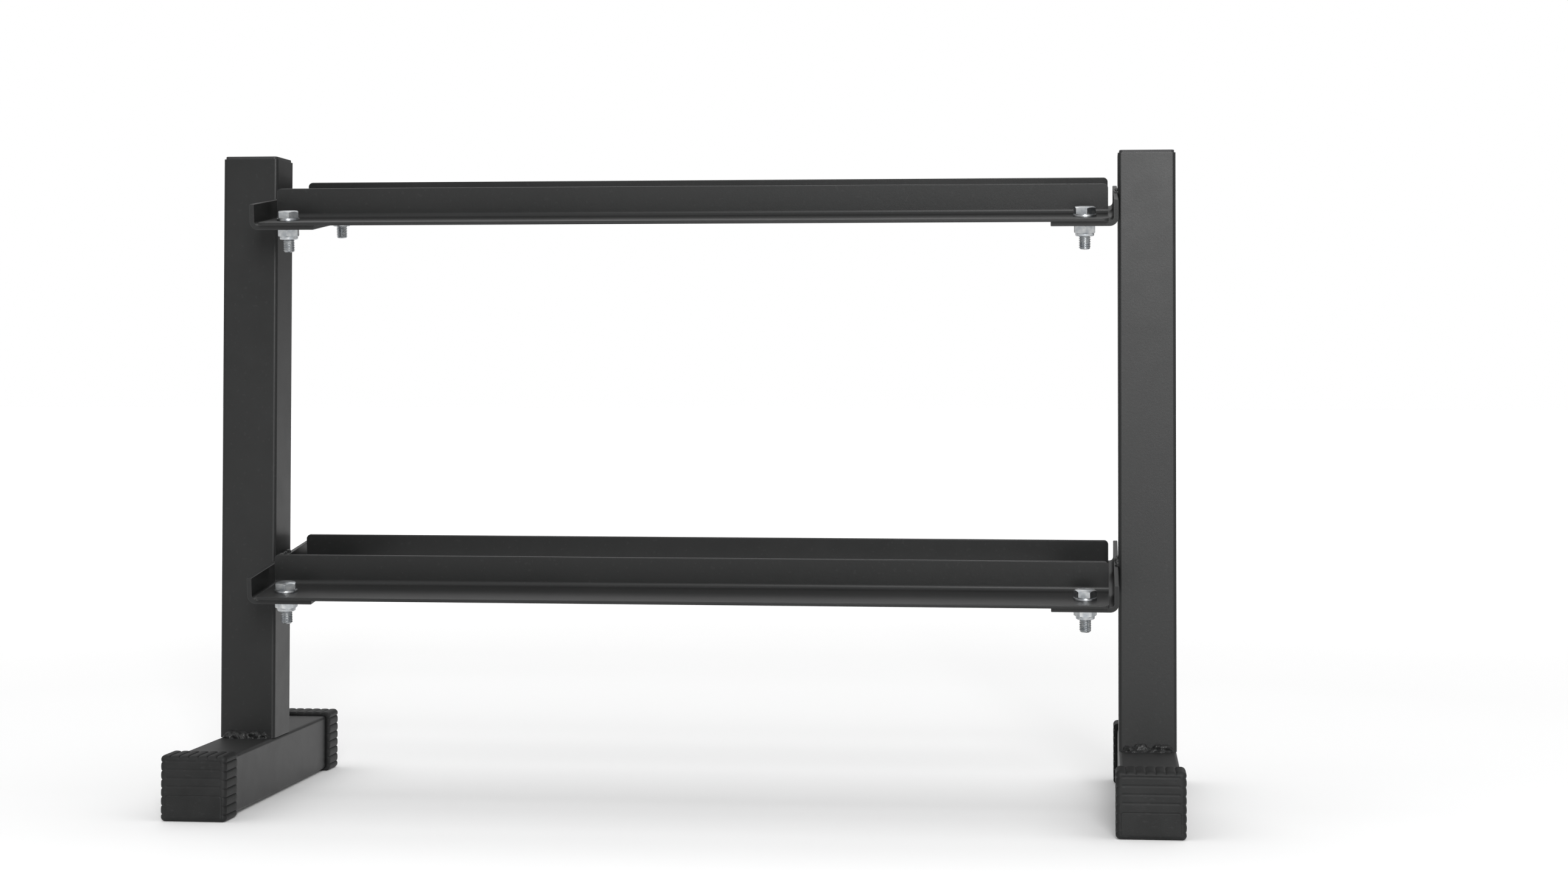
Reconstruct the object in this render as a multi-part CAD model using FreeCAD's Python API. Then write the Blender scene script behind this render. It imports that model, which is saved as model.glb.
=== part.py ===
import FreeCAD, Part

# Two-tier dumbbell rack. Two welded side frames, each an upright on a foot tube, carry four
# folded arms. Four folded rails are bolted across the arms and make two shelves that slope
# down towards the user. Each shelf is open between its front rail and its rear rail.
#
# Frame: +X to the user's right, +Y away from the user, +Z up, all in millimetres.
# The origin is on the floor, in the middle of the rack.
import math
import os
from FreeCAD import Placement, Rotation, Vector

# ---------------------------------------------------------------- driving dimensions
CLEAR_WIDTH = 752.0           # between the inner faces of the two uprights
OVERALL_HEIGHT = 575.0        # floor to the top of the plugs
FOOT_LENGTH = 356.0           # front cap face to rear cap face

TUBE = 50.0                   # side of the square tube of the uprights and the feet
TUBE_WALL = 2.5
TUBE_CORNER = 3.0             # outside corner radius of the tube

LOWER_SHELF = 192.0           # floor to the underside of the lower arms, at the upright's middle
SHELF_SPACING = 325.0         # between the two tiers
SHELF_TILT = 7.0              # degrees, rear edge higher

ARM_LENGTH = 218.0            # along the slope, centred on the upright
ARM_LEDGE = 57.0              # width of the leg that carries the rails
ARM_UPSTAND = 22.5            # height of the leg that is welded to the upright
ARM_PLATE = 4.0
ARM_BEND = 7.5                # outside radius of the fold

RAIL_LEDGE = 65.0             # width of the leg that the weights stand on
RAIL_UPSTAND = 29.0           # height of the leg that keeps the weights in place
RAIL_PLATE = 3.0
RAIL_BEND = 4.0               # inside radius of the fold
RAIL_CORNER = 4.0             # rounding of the free corners
RAIL_SPREAD = 100.0           # between the backs of the front and the rear upstand
SHEET_EDGE = 0.7              # rounding of a cut sheet edge
RAIL_END_GAP = 1.0            # between a rail's end and the start of the arm's fold

BOLT = 10.0                   # metric coarse thread
BOLT_LENGTH = 30.0            # under the head
BOLT_FROM_EDGE = 27.0         # from the rail's free edge
BOLT_END_CHAMFER = 1.2
HOLE_CLEARANCE = 0.5          # round the bolt in the rail and in the arm
HEX = 17.0                    # across the flats of head and nut
HEAD = 6.4                    # head height
NUT_HEX = 7.2                 # height of the nut's hexagon
NUT_COLLAR = 2.6              # height of the collar that holds the nylon ring
NUT_COLLAR_WALL = 1.1
NUT_THREAD_CLEARANCE = 0.1
RING_LIP = 0.6                # metal crimped over the nylon ring
WASHER = 20.0
WASHER_PLATE = 2.0
WASHER_CLEARANCE = 0.3        # round the bolt

CAP_WALL = 3.8                # rubber on the sides and the top of the foot tube
CAP_SOLE = 2.2                # rubber under the foot tube
CAP_END = 4.0                 # rubber over the end of the foot tube
CAP_DEPTH = 32.0
CAP_CORNER = 4.0
CAP_GRIP = 0.0                # gap between cap and tube: the rubber is stretched on
GROOVE_WIDTH = 2.6
GROOVE_DEPTH = 0.9
SIDE_GROOVES = 7
SIDE_GROOVE_PITCH = 7.3
TOP_GROOVES = 6
TOP_GROOVE_PITCH = 8.1
END_GROOVES = 4
END_GROOVE_PITCH = 7.1
END_GROOVE_FIRST = 5.0        # below the top of the cap
END_GROOVE_DEPTH = 0.5
PANEL_LINE = 1.0              # width of the line round the plain panel on the cap's end
PANEL_MARGIN = 3.8            # from the panel's line to the side of the cap

PLUG_PLATE = 2.5              # plate that closes the top of an upright
PLUG_INSET = 1.2              # from the plate's side to the tube's side
PLUG_EDGE = 0.8               # rounding of the plate's upper edge
PLUG_SKIRT = 14.0             # depth of the skirt inside the tube
PLUG_SKIRT_WALL = 1.8
PLUG_CLEARANCE = 0.6          # between skirt and tube
PLUG_FINS = 2                 # grip fins round the skirt
PLUG_FIN = 1.2                # thickness of a fin

BASE_WELD = 7.0               # leg of the bead at the foot of an upright
ARM_WELD = 3.5                # leg of the bead on top of an arm's upstand
ARM_WELD_LENGTH = 40.0

# ---------------------------------------------------------------- worked-out places
foot_top = CAP_SOLE + TUBE
foot_tube_length = FOOT_LENGTH - 2.0 * CAP_END
upright_length = OVERALL_HEIGHT - PLUG_PLATE - foot_top
upright_inner = CLEAR_WIDTH / 2.0
upright_middle = upright_inner + TUBE / 2.0
arm_fold_end = upright_inner - ARM_BEND
rail_half_length = arm_fold_end - RAIL_END_GAP
rail_back = RAIL_SPREAD / 2.0
rail_edge = rail_back + RAIL_LEDGE
bolt_x = upright_inner - ARM_LEDGE / 2.0
bolt_y = rail_edge - BOLT_FROM_EDGE
rail_seat = ARM_PLATE                         # rails lie on the arms' ledges
washer_seat = ARM_PLATE + RAIL_PLATE
head_seat = washer_seat + WASHER_PLATE
tube_bore = TUBE - 2.0 * TUBE_WALL
bore_corner = max(TUBE_CORNER - TUBE_WALL, 0.3)
SHELVES = {"lower": LOWER_SHELF, "upper": LOWER_SHELF + SHELF_SPACING}
SIDES = {"left": -1.0, "right": 1.0}          # sign of X
ENDS = {"front": -1.0, "rear": 1.0}           # sign of Y


# ---------------------------------------------------------------- drawing helpers
def rounded_outline(corners):
    """Closed wire in the XY plane through (x, y, radius) corners, each rounded by a tangent arc."""
    count = len(corners)
    starts, mids, ends = [], [], []
    for i in range(count):
        here = Vector(corners[i][0], corners[i][1], 0.0)
        before = Vector(corners[i - 1][0], corners[i - 1][1], 0.0)
        after = Vector(corners[(i + 1) % count][0], corners[(i + 1) % count][1], 0.0)
        radius = corners[i][2]
        to_before = (before - here).normalize()
        to_after = (after - here).normalize()
        half = to_before.getAngle(to_after) / 2.0
        reach = radius / math.tan(half)
        inward = (to_before + to_after).normalize()
        starts.append(here + to_before * reach)
        ends.append(here + to_after * reach)
        mids.append(here + inward * (radius / math.sin(half) - radius))
    edges = []
    for i in range(count):
        if corners[i][2] > 0.0:
            edges.append(Part.Arc(starts[i], mids[i], ends[i]).toShape())
        next_start = starts[(i + 1) % count]
        if ends[i].distanceToPoint(next_start) > 1e-6:
            edges.append(Part.LineSegment(ends[i], next_start).toShape())
    return Part.Wire(edges)


def prism(wire, height):
    """Solid of an XY outline, from z = 0 up to the height."""
    return Part.Face(wire).extrude(Vector(0.0, 0.0, height))


def rounded_rectangle(width, depth, radius):
    """XY outline centred on the origin."""
    x, y = width / 2.0, depth / 2.0
    return rounded_outline([(-x, -y, radius), (x, -y, radius), (x, y, radius), (-x, y, radius)])


def lay_along_x(shape):
    """Turn a prism drawn as (y, z) up to its length so that it runs along +X."""
    turn = Rotation(Vector(0, 1, 0), Vector(0, 0, 1), Vector(1, 0, 0), "ZXY")
    return shape.transformGeometry(Placement(Vector(), turn).toMatrix())


def lay_along_y(shape):
    """Turn a prism drawn as (x, z) up to its length so that it runs along -Y."""
    shape.rotate(Vector(), Vector(1, 0, 0), 90.0)
    return shape


def centred_on_y(shape, length):
    shape.translate(Vector(0.0, length / 2.0, 0.0))
    return shape


def mirrored(shape, side):
    """The right-hand piece for side = 1, its mirror image for side = -1."""
    if side > 0.0:
        return shape
    return shape.mirror(Vector(), Vector(1, 0, 0))


def turned_back(shape, end):
    """The front piece for end = -1, the same piece turned half round for end = 1."""
    piece = shape.copy()
    if end > 0.0:
        piece.rotate(Vector(), Vector(0, 0, 1), 180.0)
    return piece


def on_shelf(shape, level):
    """Place a piece drawn on a level shelf at z = 0 onto the sloping shelf at this level."""
    piece = shape.copy()
    piece.rotate(Vector(), Vector(1, 0, 0), SHELF_TILT)
    piece.translate(Vector(0.0, 0.0, level))
    return piece


def hexagon(across_flats, height):
    """Hexagonal prism on z = 0 with two corners on the X axis."""
    corner = across_flats / math.sqrt(3.0)
    turns = [math.radians(60.0 * k) for k in range(6)]
    return prism(rounded_outline([(corner * math.cos(a), corner * math.sin(a), 0.0) for a in turns]), height)


def cone_cut(shape, radius, height, top):
    """Chamfer a hexagon's corners with a cone of 30 degrees whose rim is at the given height."""
    rise = 2.0 * radius * math.tan(math.radians(30.0))
    if top:
        tool = Part.makeCone(3.0 * radius, radius, rise, Vector(0, 0, height - rise))
    else:
        tool = Part.makeCone(radius, 3.0 * radius, rise, Vector(0, 0, height))
    return shape.common(tool)


# ---------------------------------------------------------------- side frames
def square_tube(length):
    """Tube along +Z from z = 0."""
    outside = prism(rounded_rectangle(TUBE, TUBE, TUBE_CORNER), length)
    bore = prism(rounded_rectangle(tube_bore, tube_bore, bore_corner), length)
    return outside.cut(bore)


def upright(side):
    tube = square_tube(upright_length)
    tube.translate(Vector(side * upright_middle, 0.0, foot_top))
    return tube


def foot_tube(side):
    tube = centred_on_y(lay_along_y(square_tube(foot_tube_length)), foot_tube_length)
    tube.translate(Vector(side * upright_middle, 0.0, CAP_SOLE + TUBE / 2.0))
    return tube


def bead(leg, length):
    """Convex quarter-round weld bead along X, in the corner at the origin, on its -Y and +Z side."""
    wire = Part.Wire([
        Part.LineSegment(Vector(0, 0, 0), Vector(-leg, 0, 0)).toShape(),
        Part.Arc(Vector(-leg, 0, 0), Vector(-leg * math.sqrt(0.5), leg * math.sqrt(0.5), 0),
                 Vector(0, leg, 0)).toShape(),
        Part.LineSegment(Vector(0, leg, 0), Vector(0, 0, 0)).toShape()])
    solid = lay_along_x(prism(wire, length))
    solid.translate(Vector(-length / 2.0, 0.0, 0.0))
    return solid


def base_welds(side):
    """Beads in front of and behind the upright, where it stands on its foot tube."""
    front = bead(BASE_WELD, TUBE - 2.0 * TUBE_CORNER)
    front.translate(Vector(0.0, -TUBE / 2.0, foot_top))
    beads = [turned_back(front, end) for end in ENDS.values()]
    for one in beads:
        one.translate(Vector(side * upright_middle, 0.0, 0.0))
    return Part.makeCompound(beads)


def top_plug(side):
    """Plastic plate with a finned skirt pushed into the open top of the upright."""
    plate_side = TUBE - 2.0 * PLUG_INSET
    plate = prism(rounded_rectangle(plate_side, plate_side, TUBE_CORNER), PLUG_PLATE)
    top_edges = [e for e in plate.Edges if e.BoundBox.ZMin > PLUG_PLATE - 0.01]
    plate = plate.makeFillet(PLUG_EDGE, top_edges)
    skirt_side = tube_bore - 2.0 * PLUG_CLEARANCE
    skirt = prism(rounded_rectangle(skirt_side, skirt_side, bore_corner), PLUG_SKIRT)
    for k in range(PLUG_FINS):
        fin = prism(rounded_rectangle(tube_bore, tube_bore, bore_corner), PLUG_FIN)
        fin.translate(Vector(0.0, 0.0, PLUG_SKIRT * (k + 0.5) / (PLUG_FINS + 0.5)))
        skirt = skirt.fuse(fin)
    hollow_side = skirt_side - 2.0 * PLUG_SKIRT_WALL
    skirt = skirt.cut(prism(rounded_rectangle(hollow_side, hollow_side, bore_corner), PLUG_SKIRT))
    skirt.translate(Vector(0.0, 0.0, -PLUG_SKIRT))
    plug = plate.fuse(skirt).removeSplitter()
    plug.translate(Vector(side * upright_middle, 0.0, foot_top + upright_length))
    return plug


# ---------------------------------------------------------------- rubber foot caps
def spread(count, pitch):
    """Places of a row of grooves, centred on zero."""
    return [(k - (count - 1) / 2.0) * pitch for k in range(count)]


def groove(length):
    """Round-bottomed cutter along +Z, centred on the surface that it cuts."""
    radius = ((GROOVE_WIDTH / 2.0) ** 2 + GROOVE_DEPTH ** 2) / (2.0 * GROOVE_DEPTH)
    return radius, Part.makeCylinder(radius, length)


def foot_cap():
    """Front cap of a foot tube: closed end at y = -FOOT_LENGTH / 2, centred on x = 0."""
    width = TUBE + 2.0 * CAP_WALL
    height = CAP_SOLE + TUBE + CAP_WALL
    x = width / 2.0
    outline = rounded_outline([(-x, 0.0, CAP_CORNER), (x, 0.0, CAP_CORNER),
                               (x, height, CAP_CORNER), (-x, height, CAP_CORNER)])
    body = lay_along_y(prism(outline, CAP_DEPTH))

    radius, cutter = groove(CAP_DEPTH)
    cutter = lay_along_y(cutter)
    cutters = []
    for step in spread(SIDE_GROOVES, SIDE_GROOVE_PITCH):
        for side in SIDES.values():
            tool = cutter.copy()
            tool.translate(Vector(side * (x + radius - GROOVE_DEPTH), 0.0, height / 2.0 + step))
            cutters.append(tool)
    for step in spread(TOP_GROOVES, TOP_GROOVE_PITCH):
        tool = cutter.copy()
        tool.translate(Vector(step, 0.0, height + radius - GROOVE_DEPTH))
        cutters.append(tool)

    face = -CAP_DEPTH
    line_length = width - 2.0 * PANEL_MARGIN
    for k in range(END_GROOVES):
        level = height - END_GROOVE_FIRST - k * END_GROOVE_PITCH
        cutters.append(Part.makeBox(line_length, END_GROOVE_DEPTH, GROOVE_WIDTH / 2.0,
                                    Vector(-line_length / 2.0, face, level - GROOVE_WIDTH / 4.0)))
    panel_top = height - END_GROOVE_FIRST - END_GROOVES * END_GROOVE_PITCH
    cutters.append(Part.makeBox(line_length, END_GROOVE_DEPTH, PANEL_LINE,
                                Vector(-line_length / 2.0, face, panel_top - PANEL_LINE)))
    for left in (-line_length / 2.0, line_length / 2.0 - PANEL_LINE):
        cutters.append(Part.makeBox(PANEL_LINE, END_GROOVE_DEPTH, panel_top - PANEL_LINE - CAP_CORNER / 2.0,
                                    Vector(left, face, CAP_CORNER / 2.0)))
    body = body.cut(Part.makeCompound(cutters))

    pocket_side = TUBE + 2.0 * CAP_GRIP
    pocket = lay_along_y(prism(rounded_rectangle(pocket_side, pocket_side, TUBE_CORNER), CAP_DEPTH - CAP_END))
    pocket.translate(Vector(0.0, 0.0, CAP_SOLE + TUBE / 2.0))
    body = body.cut(pocket)
    body.translate(Vector(0.0, CAP_DEPTH - FOOT_LENGTH / 2.0, 0.0))
    return body


# ---------------------------------------------------------------- shelves
def bolt_holes(shape):
    """Cut the clearance hole of the bolt at each end of a rail, or of each bolt on an arm."""
    for x in (-bolt_x, bolt_x):
        for y in (-bolt_y, bolt_y):
            hole = Part.makeCylinder(BOLT / 2.0 + HOLE_CLEARANCE, ARM_LEDGE, Vector(x, y, -ARM_LEDGE / 2.0))
            shape = shape.cut(hole)
    return shape


def arm():
    """Right-hand arm on a level shelf: upstand against the upright, ledge pointing inwards."""
    wall, tip = upright_inner, upright_inner - ARM_LEDGE
    outline = rounded_outline([
        (wall, 0.0, ARM_BEND), (wall, ARM_UPSTAND, SHEET_EDGE),
        (wall - ARM_PLATE, ARM_UPSTAND, SHEET_EDGE), (wall - ARM_PLATE, ARM_PLATE, ARM_BEND - ARM_PLATE),
        (tip, ARM_PLATE, SHEET_EDGE), (tip, 0.0, SHEET_EDGE)])
    return bolt_holes(centred_on_y(lay_along_y(prism(outline, ARM_LENGTH)), ARM_LENGTH))


def arm_welds():
    """Right-hand beads: one on top of the upstand, one in the groove under the fold."""
    upper = bead(ARM_WELD, ARM_WELD_LENGTH)
    upper.rotate(Vector(), Vector(0, 0, 1), -90.0)
    upper.translate(Vector(upright_inner, 0.0, ARM_UPSTAND))
    wall = upright_inner
    step = ARM_BEND * (1.0 - math.sqrt(0.5))
    fold = Vector(wall - step, step, 0.0)
    groove_wire = Part.Wire([
        Part.LineSegment(Vector(wall, step, 0.0), fold).toShape(),
        Part.Arc(fold, Vector(wall - ARM_BEND * (1.0 - math.cos(math.radians(22.5))),
                              ARM_BEND * (1.0 - math.sin(math.radians(22.5))), 0.0),
                 Vector(wall, ARM_BEND, 0.0)).toShape(),
        Part.LineSegment(Vector(wall, ARM_BEND, 0.0), Vector(wall, step, 0.0)).toShape()])
    lower = centred_on_y(lay_along_y(prism(groove_wire, ARM_WELD_LENGTH)), ARM_WELD_LENGTH)
    return Part.makeCompound([upper, lower])


def rail():
    """Front rail on a level shelf: upstand at the back, ledge reaching forward."""
    back, edge = -rail_back, -rail_edge
    outline = rounded_outline([
        (back, 0.0, RAIL_BEND + RAIL_PLATE), (back, RAIL_UPSTAND, SHEET_EDGE),
        (back - RAIL_PLATE, RAIL_UPSTAND, SHEET_EDGE), (back - RAIL_PLATE, RAIL_PLATE, RAIL_BEND),
        (edge, RAIL_PLATE, SHEET_EDGE), (edge, 0.0, SHEET_EDGE)])
    length = 2.0 * rail_half_length
    folded = lay_along_x(prism(outline, length))
    folded.translate(Vector(-rail_half_length, 0.0, 0.0))

    half = rail_half_length
    standing = rounded_outline([(-half, 0.0, 0.0), (half, 0.0, 0.0),
                                (half, RAIL_UPSTAND, RAIL_CORNER), (-half, RAIL_UPSTAND, RAIL_CORNER)])
    standing = lay_along_y(prism(standing, 2.0 * rail_edge))
    standing.translate(Vector(0.0, rail_edge, 0.0))
    lying = rounded_outline([(-half, edge, RAIL_CORNER), (half, edge, RAIL_CORNER),
                             (half, back, 0.0), (-half, back, 0.0)])
    lying = prism(lying, RAIL_UPSTAND)
    folded = folded.common(standing).common(lying)
    folded.translate(Vector(0.0, 0.0, rail_seat))
    return bolt_holes(folded)


# ---------------------------------------------------------------- fasteners
def bolt():
    """Hexagon bolt on the axis, head up, underside of the head at z = 0."""
    head = cone_cut(hexagon(HEX, HEAD), HEX / 2.0, HEAD, top=True)
    plain = BOLT_LENGTH - BOLT_END_CHAMFER
    shank = Part.makeCylinder(BOLT / 2.0, plain, Vector(0, 0, -plain))
    point = Part.makeCone(BOLT / 2.0 - BOLT_END_CHAMFER, BOLT / 2.0, BOLT_END_CHAMFER, Vector(0, 0, -BOLT_LENGTH))
    return head.fuse([shank, point]).removeSplitter()


def washer():
    """Flat washer standing on z = 0."""
    disc = Part.makeCylinder(WASHER / 2.0, WASHER_PLATE)
    return disc.cut(Part.makeCylinder(BOLT / 2.0 + WASHER_CLEARANCE, WASHER_PLATE))


def lock_nut():
    """Nut with its seat at z = 0, hanging down, its collar at the bottom."""
    hexagon_part = cone_cut(hexagon(HEX, NUT_HEX), HEX / 2.0, 0.0, top=False)
    hexagon_part.translate(Vector(0.0, 0.0, -NUT_HEX))
    ring_outside = ring_radius()
    collar = Part.makeCylinder(ring_outside + NUT_COLLAR_WALL, NUT_COLLAR, Vector(0, 0, -NUT_HEX - NUT_COLLAR))
    body = hexagon_part.fuse(collar)
    body = body.cut(Part.makeCylinder(BOLT / 2.0 + NUT_THREAD_CLEARANCE, 2.0 * NUT_HEX, Vector(0, 0, -2.0 * NUT_HEX)))
    seat = Part.makeCylinder(ring_outside, NUT_COLLAR - RING_LIP, Vector(0, 0, -NUT_HEX - NUT_COLLAR + RING_LIP))
    mouth = Part.makeCylinder(ring_outside - NUT_COLLAR_WALL, RING_LIP, Vector(0, 0, -NUT_HEX - NUT_COLLAR))
    return body.cut(seat).cut(mouth).removeSplitter()


def ring_radius():
    """Outside radius of the nylon ring."""
    return HEX / 2.0 - NUT_COLLAR_WALL - NUT_COLLAR_WALL / 2.0


def nylon_ring():
    """Ring held in the nut's collar, gripping the thread."""
    height = NUT_COLLAR - RING_LIP
    outside = Part.makeCylinder(ring_radius(), height, Vector(0, 0, -NUT_HEX - height))
    return outside.cut(Part.makeCylinder(BOLT / 2.0, height, Vector(0, 0, -NUT_HEX - height)))


def at_each_bolt(shape, seat, level):
    """One copy at each of a shelf's four bolts, its own z = 0 at the seat's height over the shelf."""
    copies = []
    for x in (-bolt_x, bolt_x):
        for y in (-bolt_y, bolt_y):
            piece = shape.copy()
            piece.translate(Vector(x, y, seat))
            copies.append(on_shelf(piece, level))
    return Part.makeCompound(copies)


# ---------------------------------------------------------------- the whole rack
def build():
    """Every piece of the rack, by node name."""
    nodes = {}
    cap = foot_cap()
    for side_name, side in SIDES.items():
        nodes[side_name + "_upright"] = upright(side)
        nodes[side_name + "_foot_tube"] = foot_tube(side)
        nodes[side_name + "_base_welds"] = base_welds(side)
        nodes[side_name + "_top_plug"] = top_plug(side)
        for end_name, end in ENDS.items():
            piece = turned_back(cap, end)
            piece.translate(Vector(side * upright_middle, 0.0, 0.0))
            nodes[side_name + "_" + end_name + "_foot_cap"] = piece

    arm_piece, weld_piece, rail_piece = arm(), arm_welds(), rail()
    hardware = {"bolts": (bolt(), head_seat), "washers": (washer(), washer_seat),
                "lock_nuts": (lock_nut(), 0.0), "nylon_rings": (nylon_ring(), 0.0)}
    for tier, level in SHELVES.items():
        for side_name, side in SIDES.items():
            nodes[tier + "_" + side_name + "_arm"] = on_shelf(mirrored(arm_piece, side), level)
            nodes[tier + "_" + side_name + "_arm_welds"] = on_shelf(mirrored(weld_piece, side), level)
        for end_name, end in ENDS.items():
            nodes[tier + "_" + end_name + "_rail"] = on_shelf(turned_back(rail_piece, end), level)
        for name, (piece, seat) in hardware.items():
            nodes[tier + "_shelf_" + name] = at_each_bolt(piece, seat, level)
    return nodes


os.makedirs("parts", exist_ok=True)
for node, solid in build().items():
    solid.exportStep("parts/" + node + ".step")
    box = solid.BoundBox
    print("%-26s %d solids %9.1f mm3  z %.1f to %.1f" % (node, len(solid.Solids), solid.Volume, box.ZMin, box.ZMax))
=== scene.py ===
# %% [markdown]
# # A two-tier dumbbell rack
# The rack is a steel frame: two uprights stand on two foot tubes, short folded arms reach inwards,
# and four folded rails are bolted across them. Its measured solids come from the CAD file as a fixed
# frame, in metres, with the origin on the floor. Blender adds the finishes and the pieces
# that plain solids are too simple for: ribbed rubber caps, threaded fasteners and weld beads.

# %% Load the frame
import math

import bmesh
import bpy
from mathutils import Matrix, Vector


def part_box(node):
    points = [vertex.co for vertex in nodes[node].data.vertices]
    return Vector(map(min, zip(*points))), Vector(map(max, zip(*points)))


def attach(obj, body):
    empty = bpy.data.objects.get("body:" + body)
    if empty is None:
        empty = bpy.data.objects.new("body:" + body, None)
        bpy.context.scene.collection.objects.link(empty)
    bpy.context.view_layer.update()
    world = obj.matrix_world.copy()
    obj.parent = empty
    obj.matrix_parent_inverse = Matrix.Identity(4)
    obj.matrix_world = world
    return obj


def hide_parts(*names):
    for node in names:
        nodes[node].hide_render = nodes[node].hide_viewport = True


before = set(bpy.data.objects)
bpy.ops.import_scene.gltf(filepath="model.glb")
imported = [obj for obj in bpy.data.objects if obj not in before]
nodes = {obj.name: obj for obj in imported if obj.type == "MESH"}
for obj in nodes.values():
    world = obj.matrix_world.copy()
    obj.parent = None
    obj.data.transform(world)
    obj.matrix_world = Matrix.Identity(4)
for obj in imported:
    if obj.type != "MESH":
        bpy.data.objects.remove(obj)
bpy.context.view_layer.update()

MM = 0.001
SIDES = {"left": -1, "right": 1}
ENDS = {"front": -1, "rear": 1}
TIERS = ("lower", "upper")

# %% [markdown]
# ## The camera
# The rack is seen from the front, a little to the right of its middle and at the height of the space
# between the shelves. The shelves slope towards it, so both ledges show, and the nuts stand clear below
# the arms. The lens is fairly long, which keeps near and far parts close in size. The view is shifted
# down, as on a shift lens, so it takes in the feet without tipping the camera down, which would make
# the uprights lean.

# %% Camera
camera = bpy.data.objects.new("camera", bpy.data.cameras.new("camera"))
bpy.context.scene.collection.objects.link(camera)
camera.data.lens = 64.93
camera.data.sensor_width = 36.0
camera.data.shift_y = -0.0838
aim = (Matrix.Rotation(0.1105, 4, "Z") @ Matrix.Rotation(0.0265, 4, "X")
       @ Matrix.Rotation(-0.0014, 4, "Y") @ Matrix.Rotation(math.radians(90.0), 4, "X"))
camera.matrix_world = Matrix.Translation((0.3584, -2.5042, 0.3698)) @ aim
bpy.context.scene.camera = camera
print("camera stands", round(camera.matrix_world.translation.length, 2), "m from the rack's middle")

# %% [markdown]
# ## Writing nodes as sums
# Materials and Geometry Nodes are both trees of nodes joined socket to socket. Building them one call at a
# time hides the sum they stand for, so this small class wraps a socket and lets ordinary signs add the
# Math nodes. Anything else is added by one method, which takes the node's type, its settings, which are
# set first, and what goes into its sockets.

# %% A socket that can be added and multiplied
class Flow:
    def __init__(self, tree, socket=None):
        self.tree, self.socket = tree, socket

    def node(self, kind, settings=None, inputs=None, out=0):
        made = self.tree.nodes.new(kind)
        for name, value in (settings or {}).items():
            if name == "stops":
                ramp = made.color_ramp.elements
                while len(ramp) < len(value):
                    ramp.new(0.5)
                for stop, (place, grey) in zip(ramp, value):
                    stop.position, stop.color = place, (grey, grey, grey, 1.0)
            else:
                setattr(made, name, value)
        for name, value in (inputs or {}).items():
            if isinstance(value, Flow):
                self.tree.links.new(value.socket, made.inputs[name])
            else:
                made.inputs[name].default_value = value
        return Flow(self.tree, made.outputs[out])

    def math(self, operation, *values):
        return self.node("ShaderNodeMath", {"operation": operation}, dict(enumerate(values)))

    def __add__(self, other): return self.math("ADD", self, other)
    def __radd__(self, other): return self.math("ADD", other, self)
    def __sub__(self, other): return self.math("SUBTRACT", self, other)
    def __rsub__(self, other): return self.math("SUBTRACT", other, self)
    def __mul__(self, other): return self.math("MULTIPLY", self, other)
    def __rmul__(self, other): return self.math("MULTIPLY", other, self)
    def __truediv__(self, other): return self.math("DIVIDE", self, other)
    def __pow__(self, other): return self.math("POWER", self, other)
    def __abs__(self): return self.math("ABSOLUTE", self)

# %% Noise, ramps and colour mixes that several finishes share
def noise(place, size, detail=2.0, stretch=(1.0, 1.0, 1.0), roughness=0.5):
    """Noise whose lumps are about `size` metres across, 0 to 1."""
    shaped = place.node("ShaderNodeMapping", {"vector_type": "POINT"}, {"Vector": place, "Scale": stretch})
    return place.node("ShaderNodeTexNoise", None,
                      {"Vector": shaped, "Scale": 1.0 / size, "Detail": detail, "Roughness": roughness})


def ramp(value, *stops):
    return value.node("ShaderNodeValToRGB", {"stops": stops}, {"Fac": value})


def mix(factor, first, second):
    """A colour between two colours."""
    return factor.node("ShaderNodeMix", {"data_type": "RGBA"}, {0: factor, 6: first, 7: second}, out=2)


def edges(place, radius):
    """1 on edges and folds, 0 on flat faces: how far a rounded normal leans from the true one."""
    soft = place.node("ShaderNodeBevel", {"samples": 6}, {"Radius": radius})
    true = place.node("ShaderNodeNewGeometry", out="Normal")
    same = place.node("ShaderNodeVectorMath", {"operation": "DOT_PRODUCT"}, {0: soft, 1: true}, out="Value")
    return ramp(1.0 - same, (0.0, 0.0), (0.25, 1.0))


def bump(height, distance, strength=1.0):
    return height.node("ShaderNodeBump", None, {"Height": height, "Distance": distance, "Strength": strength})


def finish(name, **uniform):
    """A new material, its Principled shader, and the Object coordinates that its patterns read."""
    material = bpy.data.materials.new(name)
    material.use_nodes = True
    shader = material.node_tree.nodes["Principled BSDF"]
    for socket, value in uniform.items():
        shader.inputs[socket.replace("_", " ")].default_value = value
    return material, shader, Flow(material.node_tree).node("ShaderNodeTexCoord", out="Object")


def feed(shader, **flows):
    for socket, flow in flows.items():
        flow.tree.links.new(flow.socket, shader.inputs[socket.replace("_", " ")])
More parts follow.
